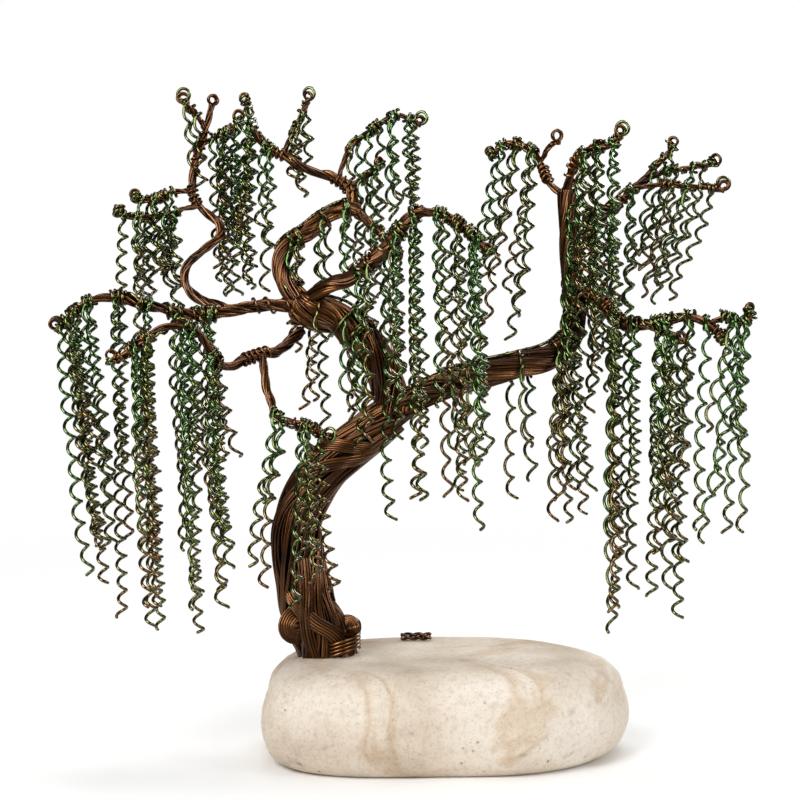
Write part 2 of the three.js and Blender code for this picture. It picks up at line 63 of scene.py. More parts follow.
# ---- bundles of brown wire, by name
# A bundle runs along its route while its radius goes from the first number to the second. It has so
# many ropes, which turn round each other so many times, and one with a tip ends in a wire eye.
BUNDLES = {
    "trunk": {
      "route": [[-33, 0, 27], [-36, 0, 35.5], [-39.5, -1, 43], [-41.5, -1, 51], [-43, 0, 60.5],
        [-42.5, 0, 71.5], [-38.5, 0, 80.5], [-31, 0, 89.5], [-22, 0, 96.5], [-14.5, 0, 102.5]],
      "radius": [9.2, 6.4], "ropes": 8, "turns": 0.45,
    },
    "limb_left": {
      "route": [[-14, 0, 103], [-15.5, 0, 111], [-19, -1, 119.5], [-24, -1, 126], [-30.5, 0, 131.5],
        [-38, 0, 133.5], [-43, 1, 135]],
      "radius": [5.6, 5.4], "ropes": 6, "turns": 0.6,
    },
    "limb_right": {
      "route": [[-14, 0, 103], [-3, 0, 110], [6, -1, 113], [18, -1, 116], [30, 0, 119], [36.5, 1, 122.5],
        [40.5, 2, 128.5], [40, 2, 140], [39, 3, 152], [38.5, 3, 161], [38, 3, 170]],
      "radius": [4.8, 2.9], "ropes": 5, "turns": 1.3,
    },
    "limb_crown": {
      "route": [[-40, 1, 135], [-46, 4, 141.5], [-48, 6, 147.5], [-46, 8, 153], [-40.5, 10, 157],
        [-35, 12, 161.5], [-29, 14, 164.5], [-24.5, 15, 164]],
      "radius": [3.4, 2.2], "ropes": 4, "turns": 1,
    },
    "limb_front": {
      "route": [[-39, -1, 137], [-33, -6, 141.5], [-27, -9, 143.5], [-22, -12, 147.5], [-17.5, -14, 151.5],
        [-13, -16, 156.5], [-9, -18, 161.5], [-5, -19, 163.5]],
      "radius": [2.7, 1.8], "ropes": 4, "turns": 1,
    },
    "loop_inner": {
      "route": [[-25, 14, 163], [-19.5, 13, 158.5], [-15, 10, 154.5], [-12.5, 6, 151]],
      "radius": [1.6, 1.2], "ropes": 2, "turns": 0.4,
    },
    "spray_front": {
      "route": [[-7, -19, 163], [-0.5, -20, 162.5], [3, -21, 161], [6.5, -22, 158.5], [10, -23, 155.5],
        [13.5, -24, 151]],
      "radius": [1.5, 1.1], "ropes": 2, "turns": 0.6, "tip": True,
    },
    "bough_left": {
      "route": [[-42, 0, 135], [-53.5, -1, 135.5], [-60, -2, 134.5], [-68, -3, 133], [-76, -4, 133],
        [-85, -6, 135], [-93.5, -8, 137.5], [-98.5, -9, 138], [-103, -10, 137], [-107, -11, 134.5],
        [-110.5, -12, 131], [-113, -12, 128]],
      "radius": [2.2, 1.2], "ropes": 3, "turns": 1.3, "tip": True,
    },
    "bough_rising": {
      "route": [[-63.5, 0, 134.5], [-71, 4, 136.5], [-75.5, 6, 139.5], [-77.5, 8, 144], [-76, 10, 148.5],
        [-71, 13, 152.5], [-67, 15, 156.5], [-67.5, 17, 160], [-71.5, 19, 163.5], [-75, 20, 167],
        [-76, 22, 173], [-75, 24, 180], [-73, 25, 186.5], [-71.5, 26, 192], [-70.5, 27, 197]],
      "radius": [1.7, 1.1], "ropes": 2, "turns": 1.5, "tip": True,
    },
    "bough_low": {
      "route": [[-41.5, -1, 128], [-47.5, -9, 122.5], [-52.5, -13, 121.5], [-57.5, -16, 120],
        [-61.5, -19, 118], [-65, -21, 119.5], [-67.5, -22, 123.5], [-70.5, -23, 128], [-75, -24, 130.5],
        [-80.5, -24, 129.5], [-85.5, -24, 126.5], [-90.5, -23, 123], [-95.5, -22, 119.5]],
      "radius": [1.8, 1.1], "ropes": 2, "turns": 1.3, "tip": True,
    },
    "twig_droop": {
      "route": [[-52.5, -13, 121.5], [-51, -18, 112.5], [-49.5, -21, 108], [-48, -24, 104],
        [-43.5, -26, 102.5], [-39.5, -27, 101.5], [-36, -28, 100], [-32.5, -28, 96.5]],
      "radius": [1.5, 1.0], "ropes": 2, "turns": 0.75, "tip": True,
    },
    "crest": {
      "route": [[-26, 15, 164], [-27.5, 17, 170.5], [-33, 18, 174.5], [-40, 19, 176.5], [-47, 20, 180.5],
        [-52.5, 20, 183], [-56.5, 19, 187.5], [-58, 18, 192.5], [-59, 17, 197]],
      "radius": [2.0, 1.0], "ropes": 3, "turns": 0.9, "tip": True,
    },
    "arch_right": {
      "route": [[38, 3, 168], [34, 6, 171], [32, 9, 174.5], [31, 12, 178.5], [28, 15, 182.5],
        [24, 18, 184.5], [19.5, 20, 184], [16.5, 21, 180.5]],
      "radius": [1.4, 1.0], "ropes": 2, "turns": 0.75, "tip": True,
    },
    "arch_crown": {
      "route": [[38, 3, 168], [39, -3, 176], [41, -7, 179.5], [44.5, -11, 182], [49, -14, 182.5],
        [52.5, -16, 185]],
      "radius": [1.5, 1.0], "ropes": 2, "turns": 0.5, "tip": True,
    },
    "bough_back": {
      "route": [[39, 3, 150], [45.5, 9, 158.5], [50.5, 13, 163], [55.5, 17, 167], [61, 21, 172]],
      "radius": [1.8, 1.4], "ropes": 2, "turns": 0.5,
    },
    "bough_right": {
      "route": [[40, 2, 141], [47.5, -4, 137], [50.5, -7, 133.5], [53.5, -10, 131], [59, -13, 130],
        [65, -16, 131], [71, -18, 132.5], [76, -20, 131.5], [79.5, -21, 129], [82, -21, 125.5]],
      "radius": [2.1, 1.3], "ropes": 3, "turns": 1, "tip": True,
    },
}

# Twigs are thinner twists that leave a bundle, and are part of that bundle's piece. Each is a route.
TWIGS = {
    "bough_rising": {
      "twig_left_upper": [[-76, 21, 170], [-81, 19, 170], [-86, 18, 168], [-90.5, 17, 167],
          [-93, 16, 167.5]],
      "twig_left_lower": [[-73.5, 19.5, 165.5], [-78.5, 17, 164.5], [-84, 15, 162.5], [-89, 13, 162],
          [-94, 12, 162], [-97.5, 11, 163]],
      "twig_rising_tip": [[-72, 25.5, 189], [-75.5, 25, 194.5], [-79, 24, 197.5]],
      "twig_rising_right": [[-73, 25, 185], [-68, 27, 187.5], [-64.5, 29, 189.5], [-62, 30, 192]],
    },
    "crest": {
      "twig_crest_left": [[-48, 20, 181.5], [-46, 23, 186], [-44, 25, 190], [-42, 26, 195],
          [-40.5, 27, 198]],
      "twig_crest_back": [[-28, 17, 171], [-22, 24, 175], [-18.5, 29, 177.5]],
      "twig_crest_mid": [[-31, 18, 173.5], [-28.5, 22, 181], [-25.5, 26, 185.5], [-21, 29, 189],
          [-16.5, 31, 192.5], [-12, 33, 194], [-8, 34, 192.5], [-5.5, 34, 191]],
    },
    "arch_right": {
      "twig_arch": [[31, 12, 179.5], [33.5, 9, 183.5], [36, 7, 184.5]],
    },
    "bough_back": {
      "twig_back_a": [[60.5, 20.5, 171.5], [66.5, 24, 177], [71, 27, 181.5], [73, 28, 184]],
      "twig_back_b": [[60, 20, 171], [68.5, 27, 175.5], [74.5, 31, 177], [81.5, 34, 178], [87, 36, 179]],
      "twig_back_c": [[60, 20, 171], [68.5, 19, 172], [75, 18, 171.5], [81.5, 17, 171], [87, 16, 170]],
    },
    "bough_right": {
      "twig_right_tip": [[77, -20.5, 130.5], [83, -22, 132.5], [87, -23, 131], [89.5, -24, 133.5]],
      "twig_right_low": [[60.5, -14, 130.2], [66, -19, 127], [69.5, -22, 125.5]],
    },
}

# ---- curtains of green curls, by name
# Each hangs on a stretch of one bundle or twig, given as shares of its route. A curl falls by its
# entry in drops while its foot drifts along X by an amount that runs from the first number of drift
# to the second across the curtain. Curls hang before and behind the bundle by turns, further out
# where the curtain has an out. Each turn falls by the curtain's pitch, or the usual one, times its
# tight. Its extra is the average number of further curls that hang beside each one in drops.
CURTAINS = {
    "curls_left_tip": {"on": "bough_left", "from": 0.7, "to": 0.93, "drift": [6, 7],
      "tight": 0.9, "extra": 0.6, "drops": [53, 72, 60, 81, 45, 69, 74]},
    "curls_left": {"on": "bough_left", "from": 0.25, "to": 0.62, "drift": [4, 1],
      "tight": 0.9, "extra": 0.7, "drops": [34, 84, 60, 97, 54, 70, 96, 62, 90, 72, 50, 96]},
    "curls_low": {"on": "bough_low", "from": 0.36, "to": 0.93, "drift": [3, 2],
      "tight": 0.9, "extra": 0.8, "drops": [30, 62, 74, 40, 82, 66, 78, 84, 60]},
    "curls_droop": {"on": "twig_droop", "from": 0.35, "to": 0.9, "drift": [-8, 4],
      "tight": 0.9, "drops": [44, 50, 24, 54, 38, 44, 45]},
    "curls_left_lower": {"on": "twig_left_lower", "from": 0.2, "to": 0.9, "drift": [1, -1],
      "tight": 0.85, "extra": 0.7, "drops": [22, 28, 18, 27, 30, 24, 27]},
    "curls_left_upper": {"on": "twig_left_upper", "from": 0.3, "to": 0.8, "drift": [1, 0],
      "tight": 0.85, "extra": 0.5, "drops": [20, 30, 24, 32, 26]},
    "curls_rising_tip": {"on": "twig_rising_tip", "from": 0.4, "to": 0.85, "drift": [2, 4],
      "drops": [20, 24, 22]},
    "curls_rising_right": {"on": "twig_rising_right", "from": 0.2, "to": 0.9, "drift": [2, 0],
      "tight": 0.9, "extra": 1.0, "drops": [40, 50, 34, 52, 44]},
    "curls_crest": {"on": "crest", "from": 0.56, "to": 0.95, "drift": [0, -3],
      "tight": 0.9, "extra": 0.9, "drops": [30, 44, 26, 42, 50, 36, 46]},
    "curls_crest_left": {"on": "twig_crest_left", "from": 0.35, "to": 0.9, "drift": [0, 1],
      "tight": 0.9, "extra": 0.4, "drops": [14, 22, 12, 20]},
    "curls_crest_back": {"on": "twig_crest_back", "from": 0.3, "to": 0.9, "drift": [0, 1],
      "drops": [34, 42, 30, 40]},
    "curls_crest_mid": {"on": "twig_crest_mid", "from": 0.2, "to": 0.62, "drift": [0, 1],
      "drops": [30, 36, 34, 28, 32]},
    "curls_crest_tip": {"on": "twig_crest_mid", "from": 0.8, "to": 0.87, "drift": [0, 1], "pitch": 3.5,
      "extra": 0.0, "drops": [26, 30, 28]},
    "curls_hub": {"on": "limb_left", "from": 0.48, "to": 0.9, "drift": [2, -2],
      "drops": [34, 30, 22, 36, 26, 30]},
    "curls_crown": {"on": "limb_crown", "from": 0.4, "to": 0.86, "drift": [0, 1],
      "extra": 0.4, "drops": [24, 34, 22, 30, 28, 38, 36]},
    "curls_front": {"on": "limb_front", "from": 0.3, "to": 0.95, "drift": [0, 2],
      "extra": 0.2, "drops": [38, 46, 52, 81, 44, 60, 83, 69]},
    "curls_spray": {"on": "spray_front", "from": 0.1, "to": 0.88, "drift": [2, 4],
      "extra": 0.3, "drops": [56, 83, 48, 82, 60, 70, 86, 66, 62]},
    "curls_arch_right": {"on": "arch_right", "from": 0.5, "to": 0.9, "drift": [-5, -14],
      "extra": 0.0, "drops": [50, 58, 44, 40, 54, 50, 62, 48]},
    "curls_arch_crown": {"on": "arch_crown", "from": 0.35, "to": 0.9, "drift": [0, 1],
      "extra": 0.2, "drops": [46, 60, 40, 66, 52, 44, 58, 50]},
    "curls_limb_upper": {"on": "limb_right", "from": 0.78, "to": 0.96, "out": 2.5, "drift": [-6, 8],
      "extra": 0.15, "drops": [60, 84, 70, 90, 78, 66, 92, 88]},
    "curls_limb_low": {"on": "limb_right", "from": 0.14, "to": 0.56, "drift": [1, 1],
      "tight": 1.1, "extra": 0.2, "drops": [20, 34, 26, 40, 24, 36, 44, 30, 43]},
    "curls_back": {"on": "bough_back", "from": 0.2, "to": 0.95, "drift": [0, -1],
      "extra": 0.25, "drops": [38, 58, 52, 44, 56, 36, 50, 40]},
    "curls_back_a": {"on": "twig_back_a", "from": 0.3, "to": 0.9, "drift": [-6, -8],
      "drops": [28, 34, 30]},
    "curls_back_b": {"on": "twig_back_b", "from": 0.35, "to": 0.85, "drift": [-10, -15],
      "drops": [30, 40, 36, 38]},
    "curls_back_c": {"on": "twig_back_c", "from": 0.35, "to": 0.85, "drift": [-8, -13],
      "drops": [26, 36, 30, 34]},
    "curls_right": {"on": "bough_right", "from": 0.2, "to": 0.8, "drift": [0, -3],
      "extra": 0.45, "drops": [60, 95, 86, 68, 50, 79, 80, 56, 68, 89, 44, 72, 60]},
    "curls_right_tip": {"on": "twig_right_tip", "from": 0.3, "to": 0.85, "out": 1.5, "drift": [-8, 0],
      "drops": [33, 66, 50, 62, 40, 62]},
    "curls_right_low": {"on": "twig_right_low", "from": 0.5, "to": 0.65, "drift": [0, 0],
      "drops": [60, 74, 52]},
    "curls_loop": {"on": "loop_inner", "from": 0.3, "to": 1, "drift": [0, 1],
      "drops": [30, 46, 52, 36]},
}

USUAL_EXTRA = 0.25  # extra of a curtain that gives none
CLUMPING = 0.55  # how far curls gather in threes, from 0 to 1


# ---- curves
def unit(vectors):
    return vectors / np.linalg.norm(vectors, axis=-1, keepdims=True)


def along(route, u):
    """Points on a route, Catmull-Rom through its points, u running from 0 to 1."""
    route = np.asarray(route, float)
    spans = len(route) - 1
    place = np.clip(np.asarray(u, float), 0, 1) * spans
    i = np.minimum(np.floor(place).astype(int), spans - 1)
    f = (place - i)[..., None]
    a, b = route[np.maximum(i - 1, 0)], route[i]
    c, d = route[i + 1], route[np.minimum(i + 2, spans)]
    return 0.5 * (2 * b + (c - a) * f + (2 * a - 5 * b + 4 * c - d) * f**2
                  + (3 * b - a - 3 * c + d) * f**3)


def direction(route, u, reach):
    """The way a route runs at u, measured over a short reach on each side."""
    return along(route, np.minimum(u + reach, 1)) - along(route, np.maximum(u - reach, 0))


def frames(points):
    """Two directions across a curve at each point, carried along it without twisting."""
    tangents = unit(np.gradient(points, axis=0))
    across = np.empty_like(points)
    held = np.array([0.2, 1.0, 0.1])
    for k, tangent in enumerate(tangents):
        held = held - tangent * held.dot(tangent)
        held = held / math.sqrt(held.dot(held))
        across[k] = held
    return tangents, across, np.cross(tangents, across)


def laid(centres, across, other, angle, distance):
    """Points that go round a curve at an angle and a distance from it."""
    return (centres + across * (np.cos(angle) * distance)[:, None]
            + other * (np.sin(angle) * distance)[:, None])


def wave(rng, u, size, rates):
    """A slow irregular wave along u, of about the given size."""
    total = np.zeros_like(u)
    for rate in rates:
        total += np.sin(TURN * (rate * rng.uniform(0.8, 1.2) * u + rng.uniform()))
    return size * total / len(rates)


# ---- meshes of many wires
END_RADIUS = 0.55  # of the smaller ring that rounds a wire's end, as a share of its radius
END_REACH = 0.6  # how far that ring stands beyond the end, as a share of its radius


class Strands:
    """Collects round wires, and makes one mesh of them with a tone and a place along each wire."""

    def __init__(self):
        self.corners = []
        self.loops = []
        self.sizes = []
        self.tones = []
        self.runs = []
        self.count = 0

    def add(self, points, radius, sides, tone, run=None):
        """One wire. Its run goes from 0 to 1 along it unless it is given point by point."""
        points = np.asarray(points, float)
        run = np.linspace(0, 1, len(points)) if run is None else run
        tangents, across, other = frames(points)
        rows = len(points) + 2
        radius = np.broadcast_to(np.asarray(radius, float), (len(points),))
        first = points[0] - tangents[0] * radius[0] * END_REACH
        final = points[-1] + tangents[-1] * radius[-1] * END_REACH
        points = np.vstack([first, points, final])
        across = np.vstack([across[:1], across, across[-1:]])
        other = np.vstack([other[:1], other, other[-1:]])
        radius = np.concatenate([[radius[0] * END_RADIUS], radius, [radius[-1] * END_RADIUS]])
        run = np.concatenate([run[:1], run, run[-1:]])

        angles = TURN * np.arange(sides) / sides
        ring = (across[:, None, :] * np.cos(angles)[None, :, None]
                + other[:, None, :] * np.sin(angles)[None, :, None])
        corners = points[:, None, :] + radius[:, None, None] * ring
        row, side = np.meshgrid(np.arange(rows - 1), np.arange(sides), indexing="ij")
        after = (side + 1) % sides
        quads = np.stack([row * sides + side, row * sides + after,
                          (row + 1) * sides + after, (row + 1) * sides + side], axis=-1)
        start_cap = np.arange(sides)[::-1]
        end_cap = (rows - 1) * sides + np.arange(sides)

        self.corners.append(corners.reshape(-1, 3))
        self.loops.append(np.concatenate([quads.ravel(), start_cap, end_cap]) + self.count)
        self.sizes.append(np.concatenate([np.full((rows - 1) * sides, 4), [sides, sides]]))
        self.tones.append(np.full(rows * sides, tone))
        self.runs.append(np.repeat(run, sides))
        self.count += rows * sides

    def piece(self, name, node, material, slot):
        """One mesh of all the wires, in place of a CAD node."""
        mesh = bpy.data.meshes.new(name)
        corners = np.concatenate(self.corners) * MM
        loops = np.concatenate(self.loops)
        sizes = np.concatenate(self.sizes)
        mesh.vertices.add(len(corners))
        mesh.vertices.foreach_set("co", corners.ravel())
        mesh.loops.add(len(loops))
        mesh.loops.foreach_set("vertex_index", loops)
        mesh.polygons.add(len(sizes))
        mesh.polygons.foreach_set("loop_start", np.concatenate([[0], np.cumsum(sizes)[:-1]]))
        for attribute, values in (("tone", self.tones), ("run", self.runs)):
            layer = mesh.attributes.new(attribute, "FLOAT", "POINT")
            layer.data.foreach_set("value", np.concatenate(values))
        mesh.update(calc_edges=True)
        mesh.shade_smooth()
        dress(mesh, name, node, material)


def dress(mesh, name, node, material):
    """Puts a mesh into the scene in place of a CAD node."""
    piece = bpy.data.objects.new(name, mesh)
    bpy.context.scene.collection.objects.link(piece)
    piece.data.materials.append(material)
    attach(piece, "root")
    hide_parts(node)


# ---- materials
class Nodes:
    """A short way to build a material's node tree."""

    def __init__(self, name):
        self.material = bpy.data.materials.new(name)
        self.material.use_nodes = True
        self.tree = self.material.node_tree
        self.shader = self.tree.nodes["Principled BSDF"]
        self.place = self.tree.nodes.new("ShaderNodeTexCoord").outputs["Object"]

    def make(self, kind, settings=None, **inputs):
        made = self.tree.nodes.new(kind)
        for key, value in (settings or {}).items():
            setattr(made, key, value)
        for key, value in inputs.items():
            self.feed(made, key.replace("_", " "), value)
        return made

    def feed(self, target, socket, value):
        """Links a socket to another node's output, or sets its value."""
        if isinstance(value, bpy.types.NodeSocket):
            self.tree.links.new(value, target.inputs[socket])
        else:
            target.inputs[socket].default_value = value

    def math(self, operation, a, b):
        made = self.make("ShaderNodeMath", {"operation": operation})
        self.feed(made, 0, a)
        self.feed(made, 1, b)
        return made.outputs[0]

    def ramp(self, factor, *stops):
        """A colour ramp through stops of (place, colour)."""
        made = self.tree.nodes.new("ShaderNodeValToRGB")
        self.tree.links.new(factor, made.inputs[0])
        elements = made.color_ramp.elements
        while len(elements) < len(stops):
            elements.new(0.5)
        for element, (place, colour) in zip(elements, stops):
            element.position = place
            element.color = (*colour, 1)
        return made.outputs[0]

    def mask(self, factor, *stops):
        """A ramp through stops of (place, strength), in greys."""
        return self.ramp(factor, *[(place, (grey, grey, grey)) for place, grey in stops])

    def span(self, factor, low, high):
        """The factor's range from 0 to 1 carried to low and high."""
        return self.math("ADD", self.math("MULTIPLY", factor, high - low), low)

    def mottle(self, scale, detail, **more):
        made = self.make("ShaderNodeTexNoise", Vector=self.place, Scale=scale, Detail=detail, **more)
        return made.outputs[0]

    def attribute(self, name):
        return self.make("ShaderNodeAttribute", {"attribute_name": name}).outputs["Fac"]

    def bump(self, height, strength, distance, **more):
        made = self.make("ShaderNodeBump", Height=height, Strength=strength, Distance=distance, **more)
        return made.outputs[0]

    def finish(self, **sockets):
        for key, value in sockets.items():
            self.feed(self.shader, key.replace("_", " "), value)
        return self.material


TONE_SHARE = 0.45  # how much of a wire's shade is the same all along it
MOTTLE_SHARE = 0.55  # and how much is mottled


def wire_material(name, enamel, roughness, coat, fleck_share, run_share):
    """Enamelled copper wire: the enamel varies from wire to wire and along each wire."""
    nodes = Nodes(name)
    shade = nodes.math("ADD", nodes.math("MULTIPLY", nodes.attribute("tone"), TONE_SHARE),
                       nodes.math("MULTIPLY", nodes.mottle(90.0, 3.0), MOTTLE_SHARE))
    shade = nodes.math("ADD", shade, nodes.math("MULTIPLY", nodes.mottle(700.0, 2.0), fleck_share))
    shade = nodes.math("ADD", shade, nodes.math("MULTIPLY", nodes.attribute("run"), run_share))
    return nodes.finish(
        Base_Color=nodes.ramp(shade, *enamel),
        Metallic=0.9,
        Roughness=nodes.span(nodes.mottle(120.0, 2.0), *roughness),
        Coat_Weight=coat,
        Coat_Roughness=0.05,
        Coat_IOR=1.5,
        Normal=nodes.bump(nodes.mottle(120.0, 1.0), 0.15, 0.0003),
    )


def stone_material():
    """Pale limestone: mottled cream and beige with fine grain, faint seams and clustered pits."""
    nodes = Nodes("pale_stone")
    cloud = nodes.mottle(34.0, 7.0)
    patch = nodes.mottle(75.0, 4.0)
    grain = nodes.mottle(650.0, 6.0)
    specks = nodes.mottle(1300.0, 2.0)
    seam = nodes.mottle(16.0, 6.0, Distortion=1.6)
    cells = nodes.make("ShaderNodeTexVoronoi", Vector=nodes.place, Scale=420.0).outputs["Distance"]
    # small where a pit is open: pits cluster where the patches are bright
    pits = nodes.math("ADD", cells, nodes.mask(patch, (0.5, 0.5), (0.68, 0)))
    colour = nodes.ramp(cloud, (0.3, (0.50, 0.40, 0.30)), (0.43, (0.62, 0.52, 0.41)),
                        (0.55, (0.72, 0.63, 0.52)), (0.7, (0.80, 0.73, 0.64)))
    tints = [
        (nodes.mask(seam, (0.5, 0), (0.555, 0.7), (0.6, 0)), (0.78, 0.66, 0.52, 1)),
        (nodes.mask(specks, (0.56, 0), (0.7, 0.55)), (0.62, 0.54, 0.45, 1)),
        (nodes.mask(grain, (0.3, 0.6), (0.5, 0)), (0.78, 0.72, 0.66, 1)),
        (nodes.mask(pits, (0.08, 1), (0.26, 0)), (0.48, 0.38, 0.29, 1)),
    ]
    for amount, tint in tints:
        layer = nodes.make("ShaderNodeMix", {"data_type": "RGBA", "blend_type": "MULTIPLY"})
        # the colour sockets of this node share their names with its number sockets
        factor_socket, first_colour_socket, second_colour_socket = 0, 6, 7
        nodes.feed(layer, factor_socket, amount)
        nodes.feed(layer, first_colour_socket, colour)
        nodes.feed(layer, second_colour_socket, tint)
        colour = layer.outputs[2]
    fine = nodes.bump(grain, 0.4, 0.0006)
    holes = nodes.bump(nodes.mask(pits, (0.05, 0), (0.25, 1)), 0.7, 0.0008, Normal=fine)
    return nodes.finish(Base_Color=colour, Roughness=nodes.span(grain, 0.66, 0.92), Normal=holes)


brown_enamel = wire_material(
    "brown_enamel",
    [(0.28, (0.019, 0.0062, 0.0016)), (0.5, (0.049, 0.0170, 0.0036)),
     (0.68, (0.100, 0.037, 0.0080)), (0.85, (0.185, 0.078, 0.019))],
    roughness=(0.22, 0.36), coat=0.15, fleck_share=0.1, run_share=0.0)
green_enamel = wire_material(
    "green_enamel",
    [(0.22, (0.014, 0.056, 0.0075)), (0.46, (0.029, 0.070, 0.0065)),
     (0.66, (0.056, 0.056, 0.0050)), (0.86, (0.092, 0.045, 0.0065))],
    roughness=(0.13, 0.22), coat=0.45, fleck_share=0.03, run_share=0.25)
pale_stone = stone_material()


# ---- bundles of brown wire
ROPE_FAT = 1.12  # ropes are this much fatter than ropes that only touch their neighbours
ROPE_FACE = 1.95  # wires cover a rope by this angle to each side of its outermost line
ROPE_CORE = 0.66  # radius of a roped bundle's core, as a share of the bundle's
LIMB_STATIONS = 90
TRUNK_STATIONS = 80
THIN_SHARE = 0.92  # a thin bough's radius as a share of its radius in the CAD
RING_PACKING = 0.92  # how closely a thin bough's wires lie beside each other
TIP_WIRES = 3  # how many wires of a thin bough run on to its tip
SHORTEST_WIRE = 6  # stations of the shortest wire
BOUGH_PITCH, BOUGH_STATIONS = 27.0, 80
TWIG_PITCH, TWIG_STATIONS = 14.0, 36
WOUND_STEPS = 16  # points in one turn of a wire that is wound round something

CARRIERS = {**BUNDLES, **{twig: {"route": route, "radius": TWIG_RADIUS}
                          for twigs in TWIGS.values() for twig, route in twigs.items()}}


def bundle_radius(bundle, u):
    first, last = bundle["radius"]
    return first + (last - first) * u


def roped_bundle(strands, bundle, wires, stations, seed):
    """A stout limb: ropes of parallel wires twisted together over a core in the darkest tone, which paints
    the shade between the ropes.
    """
    rng = np.random.default_rng(seed)
    u = np.linspace(0, 1, stations)
    centres = along(bundle["route"], u)
    _, across, other = frames(centres)
    radius = bundle_radius(bundle, u)
    ropes = bundle["ropes"]
    share = 1 / (1 + 1 / math.sin(math.pi / ropes)) * ROPE_FAT
    for j in range(ropes):
        size = radius * share * (1 + wave(rng, u, 0.1, (1.3, 2.9)))
        away = radius - size + wave(rng, u, 0.05, (2.1, 3.7)) * radius
        turn = TURN * (j / ropes + bundle["turns"] * u) + wave(rng, u, 0.16, (1.1, 2.3))
        inner = laid(centres, across, other, turn, away)
        rope_tone = rng.uniform(0.25, 0.75)
        for i in range(wires):
            round_rope = -ROPE_FACE + 2 * ROPE_FACE * (i + 0.5) / wires
            lie = turn + round_rope + wave(rng, u, 0.3, (1.0, 2.6))
            lift = size - BROWN_WIRE + wave(rng, u, 0.14, (2.3, 5.3))
            tone = np.clip(rope_tone + rng.normal(0, 0.16), 0, 1)
            strands.add(laid(inner, across, other, lie, lift), BROWN_WIRE, BROWN_SIDES, tone)
    # the core takes the darkest tone: painted shade where it shows between the ropes
    strands.add(centres, radius * ROPE_CORE, CORE_SIDES, 0.0)


def tip_eye(tip, rng):
    """The last wire of a bundle wound into a small uneven eye above the tip."""
    turns = rng.uniform(1.5, 2.4)
    k = np.linspace(0.05, 1, int(15 * turns))
    angle = -math.pi / 2 + rng.choice([-1, 1]) * TURN * turns * k
    radius = rng.uniform(1.5, 1.9) * (1 - rng.uniform(0.2, 0.5) * k)
    out = radius * np.cos(angle)
    spin = rng.uniform(-0.7, 0.7)
    deep = 1.5 * k
    return tip + np.stack([
        out * math.cos(spin) - deep * math.sin(spin),
        out * math.sin(spin) + deep * math.cos(spin),
        radius[0] * 0.95 + radius * np.sin(angle) * rng.uniform(0.85, 1.2),
    ], axis=-1)


def ring_bundle(strands, bundle, pitch, stations, seed, eye):
    """A thin bough: a few wires twisted round each other, ending one by one as it thins."""
    rng = np.random.default_rng(seed)
    u = np.linspace(0, 1, stations)
    centres = along(bundle["route"], u)
    steps = np.linalg.norm(np.diff(centres, axis=0), axis=1)
    length = np.concatenate([[0], np.cumsum(steps)])
    _, across, other = frames(centres)
    radius = bundle_radius(bundle, u) * THIN_SHARE
    thick = radius[0] - BROWN_WIRE
    wires = max(TIP_WIRES, round(math.pi * thick / BROWN_WIRE * RING_PACKING))
    order = rng.permutation(wires)
    for i in range(wires):
        kept = (radius - BROWN_WIRE) / thick >= (order[i] + 0.2) / wires
        kept |= order[i] < TIP_WIRES
        last = stations if kept.all() else max(int(np.argmin(kept)), SHORTEST_WIRE)
        angle = TURN * (i / wires + length / pitch) + wave(rng, u, 0.55, (1.3, 2.9))
        away = radius - BROWN_WIRE + wave(rng, u, 0.28, (2.1, 5.3))
        points = laid(centres, across, other, angle, np.maximum(away, BROWN_WIRE))[:last]
        if eye and order[i] == 0:
            points = np.vstack([points, tip_eye(points[-1], rng)])
        strands.add(points, BROWN_WIRE, BROWN_SIDES, rng.uniform(0.2, 0.85))
    # a core in nearly the darkest tone: painted shade where it shows between the wires
    core = np.maximum(radius - 1.25 * BROWN_WIRE, 0.3)
    strands.add(centres, core, THIN_CORE_SIDES, 0.05)


# Where a brown wire is wound along a bough: from, to, and its turns.
WRAPS = {
    "bough_right": [(0.06, 0.2, 5), (0.2, 0.44, 5), (0.86, 0.98, 4)],
    "bough_left": [(0.0, 0.12, 3), (0.3, 0.42, 3), (0.8, 0.96, 4)],
    "bough_low": [(0.14, 0.26, 5), (0.84, 0.98, 4)],
    "bough_rising": [(0.62, 0.7, 4), (0.78, 0.9, 4)],
    "crest": [(0.1, 0.24, 4), (0.5, 0.6, 3)],
    "twig_droop": [(0.6, 0.9, 4)],
    "bough_back": [(0.5, 0.8, 5)],
    "arch_right": [(0.2, 0.4, 4)],
    "arch_crown": [(0.1, 0.4, 4)],
    "spray_front": [(0.5, 0.8, 5)],
}


def wrap(strands, bundle, u_from, u_to, turns, rng):
    """A brown wire wound loosely along a bough."""
    u = np.linspace(u_from, u_to, int(WOUND_STEPS * turns))
    centres = along(bundle["route"], u)
    _, across, other = frames(centres)
    angle = TURN * turns * np.linspace(0, 1, len(u)) ** rng.uniform(0.8, 1.25)
    away = bundle_radius(bundle, u) * THIN_SHARE + 0.35 + wave(rng, u, 0.15, (20, 33))
    points = laid(centres, across, other, angle + rng.uniform(0, 6), away)
    strands.add(points, BROWN_WIRE * 0.9, BROWN_SIDES, rng.uniform(0.4, 0.9))


def bough_piece(name, seed):
    """A thin bough with the wires wound along it and the twigs that leave it."""
    strands = Strands()
    bundle = BUNDLES[name]
    ring_bundle(strands, bundle, BOUGH_PITCH, BOUGH_STATIONS, seed, bundle.get("tip", False))
    rng = np.random.default_rng(seed + 900)
    for u_from, u_to, turns in WRAPS.get(name, []):
        wrap(strands, bundle, u_from, u_to, turns, rng)
    for number, twig in enumerate(TWIGS.get(name, {})):
        ring_bundle(strands, CARRIERS[twig], TWIG_PITCH, TWIG_STATIONS, seed * 10 + number, True)
    strands.piece(name + "_wires", name, brown_enamel, "brown_wire")


def limb_piece(name, wires, seed):
    strands = Strands()
    roped_bundle(strands, BUNDLES[name], wires, LIMB_STATIONS, seed)
    strands.piece(name + "_wires", name, brown_enamel, "brown_wire")


